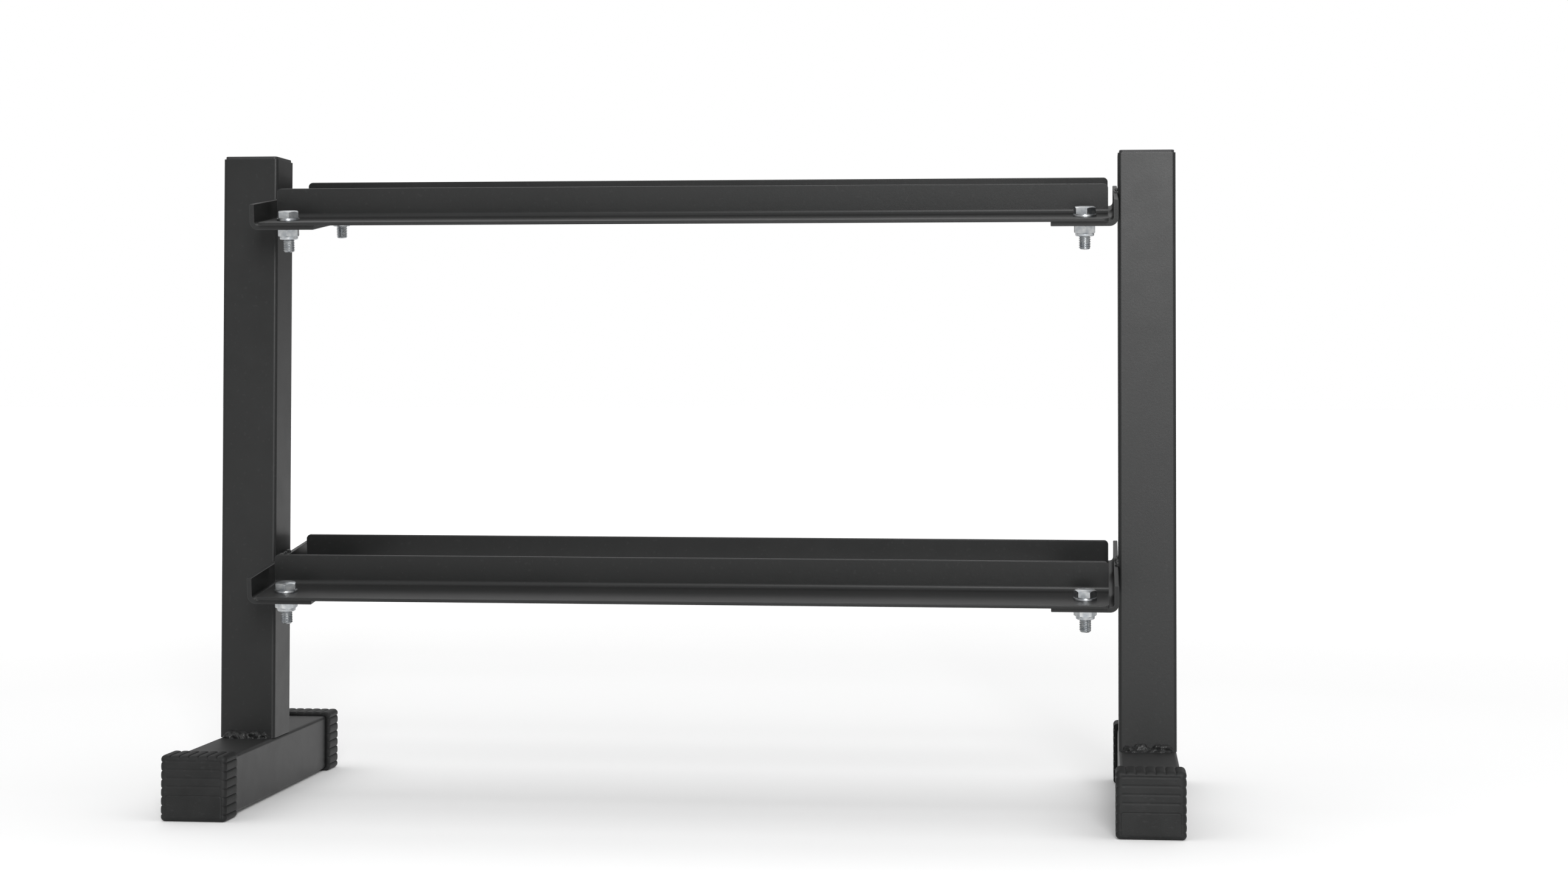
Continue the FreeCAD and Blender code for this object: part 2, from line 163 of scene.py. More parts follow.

# %% [markdown]
# ## Powder coat on the steel
# Every steel piece but the fasteners is sprayed with black powder and baked. The powder melts into a
# satin skin with a faint orange-peel waviness, a little uneven in gloss where it went on thicker,
# and it draws thin over edges. Edges are painted lighter, partly as wear of that thin coat and partly
# as a painted highlight, and faces that look up get a painted highlight too. Where weights are set down the
# coat is polished and finely scratched. All of it is noise on Object coordinates, which are metres
# here, so each pattern can be given its true size.

# %% Powder coat
def powder_coat():
    material, shader, place = finish("powder_coat", Specular_IOR_Level=0.33)
    cloud = noise(place, 0.11, detail=3.0)
    patch = noise(place, 0.018, detail=2.0)
    peel = noise(place, 0.0016, detail=2.0)
    grit = noise(place, 0.00045, detail=1.0)
    # Edges are painted lighter and smoother: partly wear where the coat runs thin, partly a painted
    # highlight.
    edge_wear_and_highlight = edges(place, 0.0012)
    up = place.node("ShaderNodeSeparateXYZ", None,
                    {0: place.node("ShaderNodeNewGeometry", out="Normal")}, out="Z")
    drag = noise(place, 0.05, detail=5.0, stretch=(55.0, 1.6, 1.0), roughness=0.62)
    scratch = ramp(drag, (0.60, 0.0), (0.72, 1.0)) * ramp(up, (0.9, 0.0), (0.97, 1.0))
    # Painted highlight: faces that look up (ledges, folds, foot tops) are painted lighter in place of the
    # sheen they mirror; the large cloud varies it a little.
    painted_top_sheen = ramp(up, (0.35, 0.0), (0.9, 1.0)) * (0.26 + 0.12 * cloud)
    speck = ramp(noise(place, 0.0032, detail=0.0), (0.74, 0.0), (0.78, 1.0))

    tone = mix(cloud * 0.6 + patch * 0.4, (0.0070, 0.0074, 0.0074, 1.0), (0.0125, 0.0129, 0.0129, 1.0))
    # mix in the painted top highlight
    tone = mix(painted_top_sheen, tone, (0.050, 0.050, 0.050, 1.0))
    tone = mix(scratch * 0.20 + speck * 0.10, tone, (0.045, 0.045, 0.046, 1.0))
    tone = mix(edge_wear_and_highlight * 0.55, tone, (0.040, 0.041, 0.042, 1.0))
    feed(shader, Base_Color=tone,
         Roughness=0.34 + cloud * 0.10 + patch * 0.06 - edge_wear_and_highlight * 0.08 + scratch * 0.05,
         Normal=bump(peel * 0.8 + grit * 0.2, 0.00005))
    return material

powder = powder_coat()
print("powder coat has", len(powder.node_tree.nodes), "nodes")

# %% [markdown]
# ## Rubber, plastic, zinc and nylon
# The caps are moulded rubber: dull, with a grey bloom that gathers in the grooves, and a skin as
# rough as the mould. The plugs are black plastic with a fine spark-eroded grain. Bolts, nuts and
# washers are zinc plated: bright, slightly blue metal with duller passivated patches. The ring in
# each nut is natural nylon. Each material gets its own grain and its own unevenness.

# %% Rubber
def cap_rubber():
    material, shader, place = finish("cap_rubber", Specular_IOR_Level=0.27)
    cloud = noise(place, 0.022, detail=4.0)
    grain = noise(place, 0.0007, detail=3.0, roughness=0.7)
    # Rib crests, edges and grooves are painted lighter: partly bloom and scuffing, partly a painted highlight
    # on the crests.
    edge_wear_and_highlight = edges(place, 0.0010)
    scuff = ramp(noise(place, 0.006, detail=4.0, stretch=(1.0, 1.0, 3.0)), (0.60, 0.0), (0.75, 1.0))
    tone = mix(ramp(cloud, (0.3, 0.0), (0.75, 1.0)),
               (0.006, 0.0063, 0.0063, 1.0), (0.013, 0.0134, 0.0134, 1.0))
    tone = mix(edge_wear_and_highlight * 0.4 + scuff * 0.2, tone, (0.045, 0.045, 0.046, 1.0))
    feed(shader, Base_Color=tone, Roughness=0.50 + cloud * 0.12 - edge_wear_and_highlight * 0.05,
         Normal=bump(grain, 0.00012))
    return material

rubber = cap_rubber()

# %% Plug plastic
def plug_plastic():
    material, shader, place = finish("plug_plastic", Specular_IOR_Level=0.45)
    grain = noise(place, 0.0005, detail=2.0)
    cloud = noise(place, 0.012, detail=3.0)
    # Edges are painted lighter: partly wear, partly a painted highlight.
    edge_wear_and_highlight = edges(place, 0.0008)
    tone = mix(cloud, (0.013, 0.013, 0.014, 1.0), (0.022, 0.022, 0.023, 1.0))
    tone = mix(edge_wear_and_highlight * 0.4, tone, (0.050, 0.050, 0.052, 1.0))
    feed(shader, Base_Color=tone, Roughness=0.46 + cloud * 0.10, Normal=bump(grain, 0.00006))
    return material

plastic = plug_plastic()

# %% Zinc plate and nylon
def zinc_plate():
    material, shader, place = finish("zinc_plate", Metallic=1.0)
    patch = noise(place, 0.0045, detail=3.0)
    brushed = noise(place, 0.0016, detail=3.0, stretch=(1.0, 6.0, 6.0))
    grain = noise(place, 0.0004, detail=1.0)
    # Edges are painted brighter: partly wear, partly a painted glint.
    edge_wear_and_highlight = edges(place, 0.0005)
    tone = mix(ramp(patch, (0.35, 0.0), (0.7, 1.0)), (0.33, 0.35, 0.37, 1.0), (0.54, 0.55, 0.55, 1.0))
    tone = mix(edge_wear_and_highlight * 0.6, tone, (0.78, 0.79, 0.80, 1.0))
    feed(shader, Base_Color=tone, Roughness=0.24 + patch * 0.14 + brushed * 0.10 - edge_wear_and_highlight * 0.06,
         Normal=bump(brushed * 0.6 + grain * 0.4, 0.00004))
    return material


def nylon():
    material, shader, place = finish("nylon", Specular_IOR_Level=0.5)
    cloud = noise(place, 0.003, detail=2.0)
    grain = noise(place, 0.0004, detail=1.0)
    feed(shader, Base_Color=mix(cloud, (0.60, 0.62, 0.60, 1.0), (0.74, 0.75, 0.72, 1.0)),
         Roughness=0.38 + cloud * 0.12, Normal=bump(grain, 0.00003))
    return material

zinc, ring_nylon = zinc_plate(), nylon()

# %% [markdown]
# ## Steel pieces keep their CAD shape
# The tubes, arms and rails are plain folded or extruded steel, and the CAD solids already have their
# true radii and holes. They stay, and only get the powder coat. So do the plugs, in plastic.

# %% Finish the CAD pieces that stay
def dress(name, material):
    for place in nodes[name].material_slots:
        place.material = material

for side in SIDES:
    dress(side + "_upright", powder)
    dress(side + "_foot_tube", powder)
    dress(side + "_top_plug", plastic)
for tier in TIERS:
    for side in SIDES:
        dress(f"{tier}_{side}_arm", powder)
    for end in ENDS:
        dress(f"{tier}_{end}_rail", powder)

# %% [markdown]
# ## Skins built from rings
# Caps, bolts, nuts and washers all have one outline that changes along an axis. Each can be written as a
# stack of closed rings with the same number of points, joined ring to ring. A solid piece closes its two
# ends with a face, and a piece with a hole joins its last ring back to its first. The skin is then
# always closed, and its normals can be turned outwards safely.

# %% Join rings into a closed skin
def lay(shape, rows, round_rows=True, back_to_first=False):
    """Lay quads between rows of points; each row closes on itself unless it is a flat grid's."""
    made = [[shape.verts.new(p) for p in row] for row in rows]
    count = len(made[0])
    for a, b in zip(made, made[1:] + made[:1] if back_to_first else made[1:]):
        for k in range(count if round_rows else count - 1):
            n = (k + 1) % count
            shape.faces.new((a[k], a[n], b[n], b[k]))
    return made


def tidy(shape, name, crease=32.0):
    """Merge doubles, turn the faces outwards, and shade smooth except over real edges."""
    bmesh.ops.remove_doubles(shape, verts=shape.verts, dist=2e-6)
    bmesh.ops.dissolve_degenerate(shape, edges=shape.edges, dist=1e-7)
    bmesh.ops.recalc_face_normals(shape, faces=shape.faces)
    open_edges = sum(1 for e in shape.edges if len(e.link_faces) != 2)
    mesh = bpy.data.meshes.new(name)
    shape.to_mesh(mesh)
    shape.free()
    mesh.shade_smooth()
    mesh.set_sharp_from_angle(angle=math.radians(crease))
    print(f"{name}: {len(mesh.polygons)} faces, {open_edges} open edges")
    return mesh


def skin(name, rings, hole=False):
    shape = bmesh.new()
    made = lay(shape, rings, back_to_first=hole)
    if not hole:
        shape.faces.new(made[0])
        shape.faces.new(made[-1])
    return tidy(shape, name)

# %% Put a finished mesh in the scene
def place_piece(name, mesh, material, slot, *cad_nodes):
    mesh.materials.clear()
    mesh.materials.append(material)
    piece = bpy.data.objects.new(name, mesh)
    bpy.context.scene.collection.objects.link(piece)
    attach(piece, "root")
    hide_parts(*cad_nodes)
    low = Vector(min(v.co[i] for v in mesh.vertices) for i in range(3))
    high = Vector(max(v.co[i] for v in mesh.vertices) for i in range(3))
    boxes = [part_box(n) for n in cad_nodes]
    proud = max(max(min(b[0][i] for b in boxes) - low[i], high[i] - max(b[1][i] for b in boxes))
                for i in range(3))
    print(f"{name}: stands {proud / MM:+.2f} mm beyond its CAD solid")
    return piece

# %% [markdown]
# ## Rubber foot caps
# A cap is a rubber cup stretched over the end of a foot tube. Its sides and top have grip ribs: low rounded
# ridges with a sharp valley between them. The outline is walked once round, and the valleys push it inwards.
# The ribs run along the cup, bend over its rounded front edge and fade out there.
# The flat front is a grid of its own, because four soft bands and the outline of
# a plain panel are pressed into it. The grid's border has the same points as the last ring, so
# the two meet without a seam.

# %% The cap's outline and its ribs
low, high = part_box("right_front_foot_cap")
CAP_WIDE, CAP_HIGH = (high - low).xz
TUBE = nodes["right_upright"].dimensions.x
TUBE_CORNER = 3.0 * MM
CAP_ROUND, CAP_WALL, CAP_END = 4.0 * MM, 3.8 * MM, 4.0 * MM
SIDE_RIBS, SIDE_PITCH = 7, 7.3 * MM
TOP_RIBS, TOP_PITCH = 6, 8.1 * MM
RIB_DEPTH = 1.25 * MM


def steps(half, step):
    """Places from -half to half, spaced by the step from the middle outwards."""
    count = int(half / step - 0.2)
    return [-half] + [k * step for k in range(-count, count + 1)] + [half]


def valley(along, pitch, count):
    """How far the ribbed surface lies below the ridges at this distance from the row's middle."""
    shift = 0.0 if count % 2 else 0.5
    nearest = round(along / pitch - shift) + shift
    inside = abs(nearest) <= (count - 1) / 2
    off = min(abs(along / pitch - nearest) * 2.0, 1.0)
    if not inside:
        return 0.0
    return RIB_DEPTH * (0.70 * math.exp(-off * 8.0) + 0.30 * (1.0 - off) ** 2)

across = steps(CAP_WIDE / 2 - CAP_ROUND, TOP_PITCH / 20)
upward = steps(CAP_HIGH / 2 - CAP_ROUND, SIDE_PITCH / 18)


def outline():
    """Points round the cap: (corner centre x, z, outward direction x, z, valley depth), from the middle."""
    turn = [math.radians(90.0 * k / 8) for k in range(1, 8)]
    x, z = across[-1], upward[-1]
    walk = [(p, z, 0.0, 1.0, valley(p, TOP_PITCH, TOP_RIBS)) for p in across]
    walk += [(x, z, math.sin(a), math.cos(a), 0.0) for a in turn]
    walk += [(x, p, 1.0, 0.0, valley(p, SIDE_PITCH, SIDE_RIBS)) for p in reversed(upward)]
    walk += [(x, -z, math.cos(a), -math.sin(a), 0.0) for a in turn]
    walk += [(p, -z, 0.0, -1.0, 0.0) for p in reversed(across)]
    walk += [(-x, -z, -math.sin(a), -math.cos(a), 0.0) for a in turn]
    walk += [(-x, p, -1.0, 0.0, valley(p, SIDE_PITCH, SIDE_RIBS)) for p in upward]
    walk += [(-x, z, -math.cos(a), math.sin(a), 0.0) for a in turn]
    return walk

walk = outline()
print(len(walk), "points round a cap")

# %% The bands and the panel line on the cap's front
BANDS, BAND_FIRST, BAND_PITCH = 4, 5.0 * MM, 7.1 * MM
BAND_WIDE, BAND_DEPTH = 2.6 * MM, 0.42 * MM
BAND_STOP, BAND_FADE = 4.6 * MM, 1.6 * MM
PANEL_TOP, PANEL_SIDE, PANEL_BEND = 33.9 * MM, 4.3 * MM, 2.5 * MM
LINE_WIDE, LINE_DEPTH = 1.0 * MM, 0.45 * MM


def dip(distance, width):
    """A smooth trough of this width."""
    return 0.5 + 0.5 * math.cos(math.pi * min(abs(distance) / (width / 2), 1.0))


def pressed(x, z):
    """How deep the mould pressed the front in at this spot; x and z are from the front's middle."""
    down = CAP_HIGH / 2 - z
    from_side = CAP_WIDE / 2 - abs(x)
    ends = min(max((from_side - BAND_STOP) / BAND_FADE, 0.0), 1.0)
    bands = sum(dip(down - BAND_FIRST - k * BAND_PITCH, BAND_WIDE) for k in range(BANDS))
    past_x, past_z = from_side - PANEL_SIDE - PANEL_BEND, down - PANEL_TOP - PANEL_BEND
    if past_x < 0.0 and past_z < 0.0:
        edge = PANEL_BEND - math.hypot(past_x, past_z)
    else:
        edge = min(past_x, past_z) + PANEL_BEND
    return BAND_DEPTH * bands * ends ** 2 * (3 - 2 * ends) + LINE_DEPTH * dip(edge, LINE_WIDE)

# %% Build one cap and turn it into four
def foot_cap(name, side, end):
    middle_x = side * (high.x + low.x) / 2
    back, front = high.y, low.y
    centre_z = CAP_HIGH / 2
    pocket_z = CAP_HIGH / 2 - CAP_WALL - TUBE / 2

    def outer(y, reach, fade):
        return [(cx + dx * (reach - depth * fade), y, cz + dz * (reach - depth * fade))
                for cx, cz, dx, dz, depth in walk]

    def inner(y, grow):
        reach = TUBE / 2 + grow
        edge = reach - TUBE_CORNER
        return [(cx * edge / across[-1] + dx * TUBE_CORNER, y,
                 cz * edge / upward[-1] + dz * TUBE_CORNER + pocket_z)
                for cx, cz, dx, dz, depth in walk]

    rings = [inner(front + CAP_END, 0.0), inner(back - 0.7 * MM, 0.0), inner(back - 0.2 * MM, 0.2 * MM),
             inner(back, 0.7 * MM), outer(back, CAP_ROUND - 0.8 * MM, 0.6),
             outer(back - 0.25 * MM, CAP_ROUND - 0.25 * MM, 0.9), outer(back - 0.8 * MM, CAP_ROUND, 1.0)]
    length = back - front
    rings += [outer(back - length * k / 6, CAP_ROUND, 1.0) for k in range(1, 5)]
    for k in range(11):
        lean = math.radians(9.0 * k)
        rings.append(outer(front + CAP_ROUND * (1.0 - math.sin(lean)), CAP_ROUND * math.cos(lean),
                           math.cos(lean) ** 0.6 if k < 10 else 0.0))
    rings[-1] = [(x, y + pressed(x, z), z) for x, y, z in rings[-1]]
    shape = bmesh.new()
    made = lay(shape, rings)
    shape.faces.new(made[0])
    lay(shape, [[(x, front + pressed(x, z), z) for x in across] for z in upward], round_rows=False)
    half_turn = Matrix.Rotation(math.pi if end > 0 else 0.0, 4, "Z")
    shape.transform(Matrix.Translation((middle_x, 0.0, centre_z)) @ half_turn)
    return tidy(shape, name, crease=40.0)

for side_name, side in SIDES.items():
    for end_name, end in ENDS.items():
        name = f"{side_name}_{end_name}_foot_cap"
        place_piece("ribbed_" + name, foot_cap(name, side, end), rubber, "cap_rubber", name)

# %% [markdown]
# ## Bolts, washers and lock nuts
# A rail is held at each end by an M10 bolt with a washer under its head and a lock nut below the arm. The
# bolt is fully threaded: its surface is a cylinder whose radius follows a ridge that climbs one
# pitch per turn, so one formula in angle and height gives the helix. Head and nut are hexagons whose
# corners are cut by a cone, which leaves the curved chamfer line seen on real ones. The nut ends in a
# round collar, crimped over its nylon ring.

# %% Hexagons and circles as rings
HEX, THREAD, PITCH = 17.0 * MM, 10.0 * MM, 1.5 * MM
THREAD_DEPTH = 0.90 * MM
CHAMFER = math.radians(30.0)
NUT_HIGH, NUT_WITH_COLLAR, RING_FACE = 7.2 * MM, 9.8 * MM, 5.75 * MM
TURN = [math.radians(7.5 * k) for k in range(48)]


def circle(radius, z):
    return [(radius * math.cos(a), radius * math.sin(a), z) for a in TURN]


def hexagon(z, cone_radius=None, up=1):
    """A ring round the hexagon; with a cone, each point drops to where the cone meets the side."""
    ring = []
    for a in TURN:
        lean = (a % math.radians(60.0)) - math.radians(30.0)
        radius = HEX / 2 / math.cos(lean)
        drop = 0.0 if cone_radius is None else up * (radius - cone_radius) * math.tan(CHAMFER)
        ring.append((radius * math.cos(a), radius * math.sin(a), z - drop))
    return ring


def thread(z, tip, length):
    """One ring of the rolled thread, cut back by the chamfer at the bolt's end."""
    ring = []
    for a in TURN:
        phase = (z / PITCH - a / (2.0 * math.pi)) % 1.0
        ridge = min(max((abs(phase - 0.5) - 0.09) / 0.34, 0.0), 1.0)
        radius = THREAD / 2 - THREAD_DEPTH * ridge
        radius = min(radius, THREAD / 2 - tip + (z + length))
        ring.append((radius * math.cos(a), radius * math.sin(a), z))
    return ring

# %% The four pieces of a fastening
def bolt_skin():
    head, length, tip = 6.4 * MM, 30.0 * MM, 1.2 * MM
    cone = 0.472 * HEX
    rings = [circle(cone - 0.15 * MM, head), hexagon(head - 0.06 * MM, cone), hexagon(0.4 * MM),
             circle(0.476 * HEX, 0.35 * MM), circle(0.476 * HEX, 0.0), circle(5.6 * MM, 0.0),
             circle(THREAD / 2, -0.5 * MM), circle(THREAD / 2, -1.2 * MM)]
    count = int((length - 1.5 * MM) / (PITCH / 8))
    rings += [thread(-1.5 * MM - k * PITCH / 8, tip, length) for k in range(count)]
    rings += [thread(-length + 0.05 * MM, tip, length), circle(THREAD / 2 - tip - 0.1 * MM, -length)]
    return skin("bolt", rings)


def washer_skin():
    hole, rim, plate, edge = THREAD / 2 + 0.3 * MM, 10.0 * MM, 2.0 * MM, 0.25 * MM
    return skin("washer", [circle(hole, edge), circle(hole, plate - edge), circle(hole + edge, plate),
                           circle(rim - 2 * edge, plate), circle(rim - edge * 0.5, plate - edge * 0.5),
                           circle(rim, plate - 2 * edge), circle(rim, edge), circle(rim - edge, 0.0),
                           circle(hole + edge, 0.0)], hole=True)


def nut_skin():
    bore, collar, seat, cone = THREAD / 2 + 0.1 * MM, 7.95 * MM, 6.85 * MM, 0.476 * HEX
    foot, top = -NUT_WITH_COLLAR, -NUT_HIGH
    return skin("lock_nut", [
        circle(bore + 0.6 * MM, 0.0), circle(cone, 0.0), hexagon(-0.05 * MM, cone),
        hexagon(-7.15 * MM, HEX / 2 - 0.1 * MM, up=-1), circle(HEX / 2 - 0.1 * MM, top),
        circle(collar + 0.15 * MM, top), circle(collar, -7.4 * MM), circle(collar, foot + 0.9 * MM),
        circle(collar - 0.18 * MM, foot + 0.35 * MM), circle(collar - 0.6 * MM, foot + 0.06 * MM),
        circle(collar - 1.0 * MM, foot), circle(5.9 * MM, foot + 0.05 * MM),
        circle(RING_FACE, foot + 0.25 * MM), circle(RING_FACE, foot + 0.6 * MM),
        circle(seat, foot + 0.6 * MM), circle(seat, top), circle(bore, top), circle(bore, -0.6 * MM)],
        hole=True)


def ring_skin():
    top, foot, bore, rim = -NUT_HIGH, -9.2 * MM, THREAD / 2, 6.83 * MM
    return skin("nylon_ring", [circle(bore + 0.3 * MM, top), circle(rim, top), circle(rim, foot),
                               circle(RING_FACE, foot), circle(bore + 0.45 * MM, foot + 0.05 * MM),
                               circle(bore + 0.1 * MM, foot + 0.3 * MM), circle(bore, foot + 0.7 * MM),
                               circle(bore, top - 0.3 * MM)], hole=True)

# %% [markdown]
# ## Repeating a fastening on a shelf
# Both shelves are bolted in the same way at the same four corners. A Geometry Nodes
# tree takes one piece, puts a copy at each corner of a two by two grid, gives each its own turn
# about its axis, because nobody lines up bolt heads, and then tilts and lifts the whole set onto its shelf.
# The turns come from a seed, so they are the same every time.

# %% The tree that sets four of a piece on a sloping shelf
def inputs_of(tree, **kinds):
    """Name the tree's inputs and return a Flow for each, with the geometry first."""
    tree.interface.new_socket("Geometry", in_out="INPUT", socket_type="NodeSocketGeometry")
    tree.interface.new_socket("Geometry", in_out="OUTPUT", socket_type="NodeSocketGeometry")
    for name, kind in kinds.items():
        tree.interface.new_socket(name.replace("_", " "), in_out="INPUT", socket_type="NodeSocket" + kind)
    group = tree.nodes.new("NodeGroupInput")
    return [Flow(tree, socket) for socket in group.outputs[:len(kinds) + 1]]


def end_tree(result, material):
    whole = result.node("GeometryNodeRealizeInstances", None, {0: result})
    coated = result.node("GeometryNodeSetMaterial", None, {"Geometry": whole, "Material": material})
    end = result.tree.nodes.new("NodeGroupOutput")
    result.tree.links.new(coated.socket, end.inputs[0])


def made_by(tree, mesh, **values):
    """Run the tree on a mesh and return the plain mesh that comes out."""
    carrier = bpy.data.objects.new("carrier", mesh)
    bpy.context.scene.collection.objects.link(carrier)
    step = carrier.modifiers.new("tree", "NODES")
    step.node_group = tree
    for item in tree.interface.items_tree:
        name = item.name.replace(" ", "_")
        if item.in_out == "INPUT" and name in values:
            step[item.identifier] = values[name]
    seen = bpy.context.evaluated_depsgraph_get()
    result = bpy.data.meshes.new_from_object(carrier.evaluated_get(seen))
    carrier.modifiers.clear()
    bpy.data.objects.remove(carrier)
    return result

corners = bpy.data.node_groups.new("Four corners of a shelf", "GeometryNodeTree")
piece, across_x, across_y, seat, tilt, level, turns, seed, coat = inputs_of(
    corners, Across="Float", Deep="Float", Seat="Float", Tilt="Float", Level="Float",
    Turns="Float", Seed="Int", Finish="Material")
grid = piece.node("GeometryNodeMeshGrid", None,
                  {"Size X": across_x, "Size Y": across_y, "Vertices X": 2, "Vertices Y": 2})
turn = piece.node("FunctionNodeRandomValue", {"data_type": "FLOAT"}, {2: 0.0, 3: turns, 8: seed}, out=1)
turn = piece.node("ShaderNodeCombineXYZ", None, {"Z": turn})
copies = piece.node("GeometryNodeInstanceOnPoints", None,
                    {"Points": grid, "Instance": piece, "Rotation": turn})
lift = piece.node("ShaderNodeCombineXYZ", None, {"Z": seat})
lean = piece.node("ShaderNodeCombineXYZ", None, {"X": tilt})
rise = piece.node("ShaderNodeCombineXYZ", None, {"Z": level})
seated = piece.node("GeometryNodeTransform", None, {"Geometry": copies, "Translation": lift})
shelved = piece.node("GeometryNodeTransform", None,
                     {"Geometry": seated, "Rotation": lean, "Translation": rise})
end_tree(shelved, coat)
print("the tree has", len(corners.nodes), "nodes")

# %% Fasten both shelves
TILT = math.radians(7.0)
ARM_LENGTH = 218.0 * MM
BOLTS_ACROSS, BOLTS_DEEP = 695.0 * MM, 176.0 * MM
STEEL = 7.0 * MM        # an arm's plate and a rail's on top of it
WASHER = 2.0 * MM


def shelf_level(tier):
    """Height of a shelf's underside where it passes the uprights."""
    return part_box(tier + "_left_arm")[0].z + ARM_LENGTH / 2 * math.sin(TILT)

# name: (piece, prefix of its name, height of its seat on the shelf, material, slot, seed)
hardware = {"bolts": (bolt_skin(), "threaded", STEEL + WASHER, zinc, "zinc_plate", 11),
            "washers": (washer_skin(), "turned", STEEL, zinc, "zinc_plate", 12),
            "lock_nuts": (nut_skin(), "turned", 0.0, zinc, "zinc_plate", 13),
            "nylon_rings": (ring_skin(), "turned", 0.0, ring_nylon, "nylon", 14)}
for tier in TIERS:
    print(tier, "shelf passes the uprights at", round(shelf_level(tier), 4), "m")
    for name, (shape, prefix, seat_height, material, slot, seed_number) in hardware.items():
        mesh = made_by(corners, shape.copy(), Across=BOLTS_ACROSS, Deep=BOLTS_DEEP, Seat=seat_height,
                       Tilt=TILT, Level=shelf_level(tier), Turns=math.tau,
                       Seed=seed_number + 10 * TIERS.index(tier), Finish=material)
        place_piece(f"{tier}_shelf_{prefix}_{name}", mesh, material, slot, f"{tier}_shelf_{name}")

# %% [markdown]
# ## Weld beads
# The uprights are welded to the feet at the front and back, and each arm to its upright
# above its upstand and below its fold. A hand-run bead is a row of small overlapping pools: crescent ripples
# a millimetre or two apart, on a body that swells and thins. A Geometry Nodes tree sweeps a
# quarter-round profile along the seam, then pushes each point towards the corner by the ripple and by
# seeded noise, and rounds off both ends. The flat sides of the profile stay on the steel.

# %% The tree that runs a bead along X, in the corner below it and behind it
beads = bpy.data.node_groups.new("Weld bead", "GeometryNodeTree")
length, leg, ripple_pitch, ripple_depth, lumps, lump_size, seed, coat = inputs_of(
    beads, Length="Float", Leg="Float", Ripple_Pitch="Float", Ripple_Depth="Float",
    Lumps="Float", Lump_Size="Float", Seed="Int", Finish="Material")[1:]
half = length * 0.5
seam = half.node("GeometryNodeCurvePrimitiveLine", None, {
    "Start": half.node("ShaderNodeCombineXYZ", None, {"X": 0.0 - half}),
    "End": half.node("ShaderNodeCombineXYZ", None, {"X": half})})
seam = half.node("GeometryNodeResampleCurve", {"mode": "COUNT"}, {"Curve": seam, "Count": 150})
profile = half.node("GeometryNodeCurveArc", {"mode": "RADIUS"}, {
    "Resolution": 13, "Radius": leg, "Start Angle": 0.0, "Sweep Angle": math.radians(90.0),
    "Connect Center": True})
swept = half.node("GeometryNodeCurveToMesh", None,
                  {"Curve": seam, "Profile Curve": profile, "Fill Caps": True})
spot = half.node("GeometryNodeInputPosition")
x, y, z = (half.node("ShaderNodeSeparateXYZ", None, {0: spot}, out=k) for k in range(3))
bow = abs(y * z) / (leg * leg) * 2.0
ripple = abs(half.math("SINE", (x / ripple_pitch + bow) * math.pi))
where = half.node("ShaderNodeVectorMath", {"operation": "SCALE"}, {0: spot, 3: lump_size ** -1.0})
lump = half.node("ShaderNodeTexNoise", {"noise_dimensions": "4D"},
                 {"Vector": where, "W": seed * 3.7, "Scale": 1.0, "Detail": 1.0})
lump = half.node("ShaderNodeMapRange", {"interpolation_type": "SMOOTHSTEP"}, {0: lump, 1: 0.34, 2: 0.66})
to_end = half.math("MAXIMUM", (abs(x) - half + leg) / leg, 0.0)
rounding = half.math("MAXIMUM", 1.0 - to_end * to_end, 0.02) ** 0.5
size = (1.0 - (1.0 - ripple) * ripple_depth - lump * lumps) * rounding
moved = half.node("ShaderNodeCombineXYZ", None, {"X": x, "Y": y * size, "Z": z * size})
shaped = half.node("GeometryNodeSetPosition", None, {"Geometry": swept, "Position": moved})
smooth = half.node("GeometryNodeMergeByDistance", None, {"Geometry": shaped, "Distance": 0.000004})
end_tree(smooth, coat)

# %% Run the beads and set each pair in its corners
BASE_LEG, ARM_TOP_LEG, ARM_FOLD_LEG = 7.0 * MM, 3.5 * MM, 3.3 * MM
ARM_BEAD, ARM_UPSTAND, FOLD_SEAM = 40.0 * MM, 22.5 * MM, 5.5 * MM


def bead(length, leg, seed_number):
    return made_by(beads, bpy.data.meshes.new("seam"), Length=length, Leg=leg, Ripple_Pitch=2.5 * MM,
                   Ripple_Depth=0.03, Lumps=0.50, Lump_Size=1.15 * leg, Seed=seed_number, Finish=powder)


def joined(name, placed):
    """One mesh from several, each moved by its own matrix."""
    whole = bmesh.new()
    for mesh, move in placed:
        mesh.transform(move)
        whole.from_mesh(mesh)
    return tidy(whole, name, crease=50.0)


def spun(axis, degrees):
    return Matrix.Rotation(math.radians(degrees), 4, axis)

upright_low, upright_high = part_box("right_upright")
wall, upright_x = upright_low.x, (upright_low.x + upright_high.x) / 2
facing_up = spun("X", -90.0)
for side_name, side in SIDES.items():
    pair = [(bead(TUBE - 2 * TUBE_CORNER, BASE_LEG, 3 + side + 5 * end),
             Matrix.Translation((side * upright_x, 0.0, 0.0)) @ spun("Z", 0.0 if end < 0 else 180.0)
             @ Matrix.Translation((0.0, -TUBE / 2, upright_low.z)) @ facing_up) for end in ENDS.values()]
    place_piece(f"{side_name}_run_base_welds", joined("base_welds", pair), powder, "powder_coat",
                f"{side_name}_base_welds")

